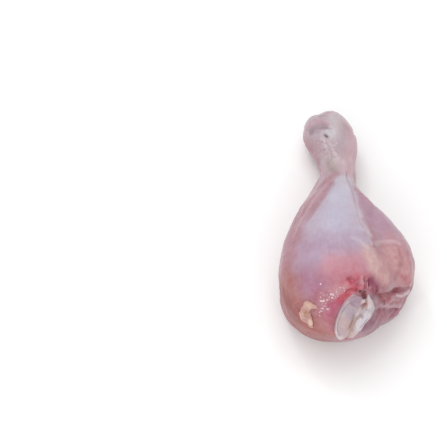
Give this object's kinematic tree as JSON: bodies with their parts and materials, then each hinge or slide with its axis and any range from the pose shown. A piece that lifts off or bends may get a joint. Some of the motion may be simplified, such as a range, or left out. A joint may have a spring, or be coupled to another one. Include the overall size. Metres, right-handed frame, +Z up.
{
  "type": "raw chicken drumstick",
  "caption": "Raw skinless poultry leg: a plump calf of meat under thin film, narrowing to a pale ankle knuckle, with cut gristle at the knee end.",
  "frame": {"origin": "middle of the footprint, on the surface the drumstick lies on", "axes": "+Y from the knee end to the ankle knuckle, +X across towards the outer calf, +Z up"},
  "size_m": [0.0614, 0.128, 0.0439],
  "materials": {
    "raw_flesh": "wet film over pink muscle",
    "bone": "moist pale bone",
    "gristle": "wet pearly cartilage and sinew",
    "fat": "wet cream fat tinged pink",
    "sinew": "wet white tendon and film edge",
    "blood": "wet dark red"
  },
  "bodies": {
    "root": {"meat": "raw_flesh", "shin_bone": "bone", "knee_gristle": "gristle", "knee_ligament": "gristle"}
  },
  "joints": []
}
